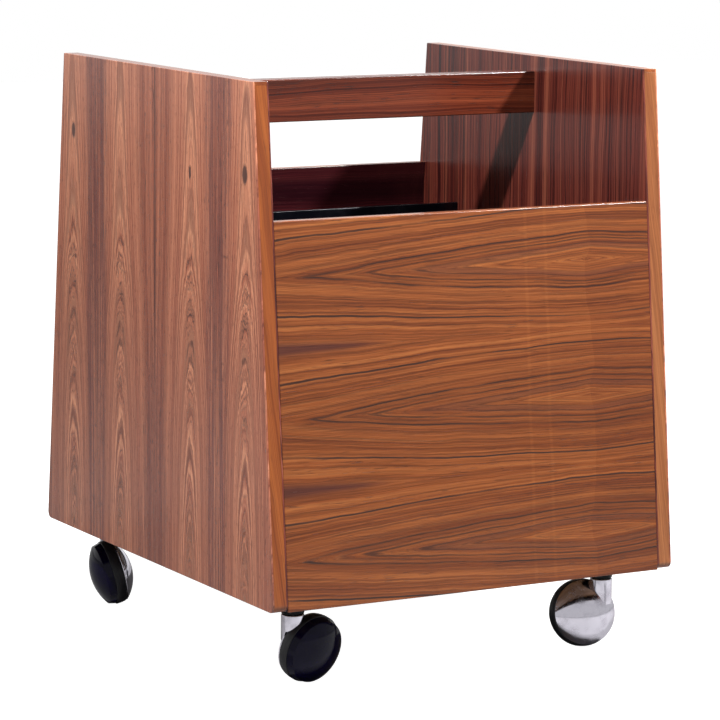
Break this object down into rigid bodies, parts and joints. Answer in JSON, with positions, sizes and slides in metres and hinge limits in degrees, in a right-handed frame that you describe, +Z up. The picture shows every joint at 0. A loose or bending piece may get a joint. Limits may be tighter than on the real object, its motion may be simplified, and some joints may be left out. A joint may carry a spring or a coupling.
{
  "type": "magazine rack",
  "caption": "Rolling magazine rack: veneered trapezoid side panels, lower end panels, a handle rail, thin dividers inside, and tilted-disc swivel casters.",
  "frame": {"origin": "on the floor, under the middle of the case's footprint", "axes": "+Z up, +X to the right seen from the front, and the front panel faces -Y"},
  "size_m": [0.4, 0.459, 0.5162],
  "materials": {
    "veneer": "semi-gloss lacquered rosewood veneer with dark figure",
    "lipping": "semi-gloss lacquered solid edge wood",
    "rail_wood": "semi-gloss lacquered solid rosewood",
    "board_core": "plain board, unlacquered",
    "dowel_wood": "raw beech",
    "divider_black": "satin black",
    "collar_black": "moulded black nylon",
    "chrome": "polished chrome plate with light handling wear",
    "steel": "plain drawn steel",
    "disc_black": "glossy black moulding",
    "tyre_rubber": "satin black rubber"
  },
  "bodies": {
    "case": {"left_side_panel": "veneer", "left_top_lipping": "lipping", "left_bottom_lipping": "lipping", "left_front_lipping": "lipping", "left_rear_lipping": "lipping", "right_side_panel": "veneer", "right_top_lipping": "lipping", "right_bottom_lipping": "lipping", "right_front_lipping": "lipping", "right_rear_lipping": "lipping", "front_panel": "veneer", "front_panel_top_lipping": "lipping", "rear_panel": "veneer", "rear_panel_top_lipping": "lipping", "bottom_board": "board_core", "handle_rail": "rail_wood", "divider_1": "divider_black", "divider_2": "divider_black", "divider_3": "divider_black", "divider_4": "divider_black", "divider_5": "divider_black", "rail_dowel_left_lower": "dowel_wood", "front_panel_dowel_left_lower": "dowel_wood", "rear_panel_dowel_left_lower": "dowel_wood", "rail_dowel_left_upper": "dowel_wood", "front_panel_dowel_left_upper": "dowel_wood", "rear_panel_dowel_left_upper": "dowel_wood", "rail_dowel_right_lower": "dowel_wood", "front_panel_dowel_right_lower": "dowel_wood", "rear_panel_dowel_right_lower": "dowel_wood", "rail_dowel_right_upper": "dowel_wood", "front_panel_dowel_right_upper": "dowel_wood", "rear_panel_dowel_right_upper": "dowel_wood", "caster_socket_front_left": "collar_black", "caster_socket_rear_left": "collar_black", "caster_socket_front_right": "collar_black", "caster_socket_rear_right": "collar_black"},
    "caster_front_left": {"caster_stem_front_left": "steel", "caster_hood_front_left": "chrome", "caster_axle_front_left": "steel"},
    "wheel_front_left": {"wheel_disc_front_left": "disc_black", "wheel_tyre_front_left": "tyre_rubber"},
    "caster_rear_left": {"caster_stem_rear_left": "steel", "caster_hood_rear_left": "chrome", "caster_axle_rear_left": "steel"},
    "wheel_rear_left": {"wheel_disc_rear_left": "disc_black", "wheel_tyre_rear_left": "tyre_rubber"},
    "caster_front_right": {"caster_stem_front_right": "steel", "caster_hood_front_right": "chrome", "caster_axle_front_right": "steel"},
    "wheel_front_right": {"wheel_disc_front_right": "disc_black", "wheel_tyre_front_right": "tyre_rubber"},
    "caster_rear_right": {"caster_stem_rear_right": "steel", "caster_hood_rear_right": "chrome", "caster_axle_rear_right": "steel"},
    "wheel_rear_right": {"wheel_disc_rear_right": "disc_black", "wheel_tyre_rear_right": "tyre_rubber"}
  },
  "joints": [
    {"name": "swivel_front_left", "type": "hinge", "parent": "case", "child": "caster_front_left", "pos_m": [-0.1564, -0.1819, 0.06216], "axis": [0, 0, 1], "continuous": true},
    {"name": "roll_front_left", "type": "hinge", "parent": "caster_front_left", "child": "wheel_front_left", "pos_m": [-0.13933, -0.18252, 0.02996], "axis": [0.2567, -0.9383, -0.2317], "continuous": true},
    {"name": "swivel_rear_left", "type": "hinge", "parent": "case", "child": "caster_rear_left", "pos_m": [-0.1564, 0.1819, 0.06216], "axis": [0, 0, 1], "continuous": true},
    {"name": "roll_rear_left", "type": "hinge", "parent": "caster_rear_left", "child": "wheel_rear_left", "pos_m": [-0.16467, 0.16696, 0.02996], "axis": [-0.9529, 0.1956, -0.2317], "continuous": true},
    {"name": "swivel_front_right", "type": "hinge", "parent": "case", "child": "caster_front_right", "pos_m": [0.1564, -0.1819, 0.06216], "axis": [0, 0, 1], "continuous": true},
    {"name": "roll_front_right", "type": "hinge", "parent": "caster_front_right", "child": "wheel_front_right", "pos_m": [0.14117, -0.17418, 0.02996], "axis": [0.1606, 0.9594, -0.2317], "continuous": true},
    {"name": "swivel_rear_right", "type": "hinge", "parent": "case", "child": "caster_rear_right", "pos_m": [0.1564, 0.1819, 0.06216], "axis": [0, 0, 1], "continuous": true},
    {"name": "roll_rear_right", "type": "hinge", "parent": "caster_rear_right", "child": "wheel_rear_right", "pos_m": [0.14202, 0.17269, 0.02996], "axis": [-0.7452, 0.6253, -0.2317], "continuous": true}
  ]
}
